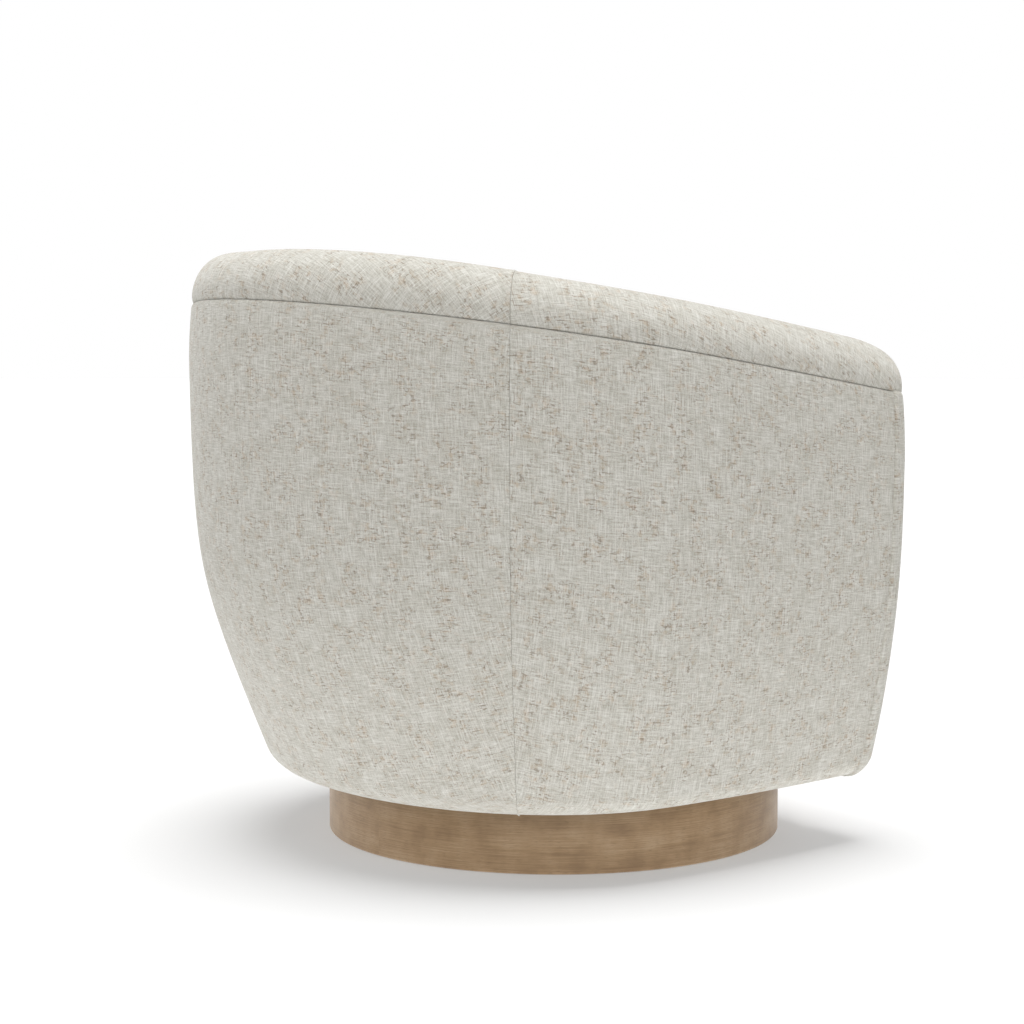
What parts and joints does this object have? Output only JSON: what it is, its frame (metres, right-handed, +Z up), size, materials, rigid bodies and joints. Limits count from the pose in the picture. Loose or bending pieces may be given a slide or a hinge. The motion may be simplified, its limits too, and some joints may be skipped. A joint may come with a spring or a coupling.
{
  "type": "swivel barrel chair",
  "caption": "Round-backed upholstered lounge chair with sloping padded arms, loose seat cushion and a round wooden plinth on which the seat swivels.",
  "frame": {"origin": "on the floor, below the middle of the whole outline seen from above; the swivel axis is 72.5 mm in front of it", "axes": "+Z up, the front of the chair faces -Y, +X to the right as seen from the front"},
  "size_m": [0.772, 0.7582, 0.7062],
  "materials": {
    "linen": "matte",
    "deck_cloth": "matte",
    "black_lining": "matte",
    "elastic_webbing": "matte",
    "cardboard": "matte",
    "plywood": "matte",
    "oak_veneer": "satin",
    "swivel_steel": "satin",
    "spring_steel": "satin",
    "zinc_steel": "satin",
    "nylon": "matte"
  },
  "bodies": {
    "base": {"plinth_ring": "oak_veneer", "plinth_panel": "plywood", "plinth_block_1": "plywood", "plinth_block_2": "plywood", "plinth_block_3": "plywood", "plinth_block_4": "plywood", "glide_1": "nylon", "glide_2": "nylon", "glide_3": "nylon", "glide_4": "nylon", "swivel_lower_plate": "swivel_steel", "plinth_screw_1": "zinc_steel", "plinth_screw_2": "zinc_steel", "plinth_screw_3": "zinc_steel", "plinth_screw_4": "zinc_steel"},
    "bearing": {"ball_ring": "swivel_steel"},
    "seat": {"swivel_upper_plate": "swivel_steel", "swivel_rivet": "zinc_steel", "board_screw_1": "zinc_steel", "board_screw_2": "zinc_steel", "board_screw_3": "zinc_steel", "board_screw_4": "zinc_steel", "base_board": "plywood", "dust_cover": "black_lining", "post_back": "plywood", "post_rear_left": "plywood", "post_rear_right": "plywood", "post_arm_left": "plywood", "post_arm_right": "plywood", "post_front_left": "plywood", "post_front_right": "plywood", "top_rail": "plywood", "seat_rail_front": "plywood", "seat_rail_back": "plywood", "seat_rail_left": "plywood", "seat_rail_right": "plywood", "seat_spring_1": "spring_steel", "seat_spring_2": "spring_steel", "seat_spring_3": "spring_steel", "seat_spring_4": "spring_steel", "back_webbing_1": "elastic_webbing", "back_webbing_2": "elastic_webbing", "outer_board_back": "cardboard", "outside_back": "linen", "inside_back": "linen", "cap_back": "linen", "outer_board_left": "cardboard", "outside_left": "linen", "inside_left": "linen", "cap_left": "linen", "outer_board_right": "cardboard", "outside_right": "linen", "inside_right": "linen", "cap_right": "linen", "arm_front_left": "linen", "arm_front_right": "linen", "front_apron": "linen", "seat_cushion": "linen", "deck_pad": "deck_cloth"}
  },
  "joints": [
    {"name": "seat_swivel", "type": "hinge", "parent": "base", "child": "seat", "pos_m": [0, -0.0725, 0.0782], "axis": [0, 0, 1], "continuous": true},
    {"name": "ball_ring_spin", "type": "hinge", "parent": "base", "child": "bearing", "pos_m": [0, -0.0725, 0.0782], "axis": [0, 0, 1], "continuous": true}
  ],
  "couplings": [
    {"joint": "ball_ring_spin", "follows": "seat_swivel", "ratio": 0.5}
  ]
}
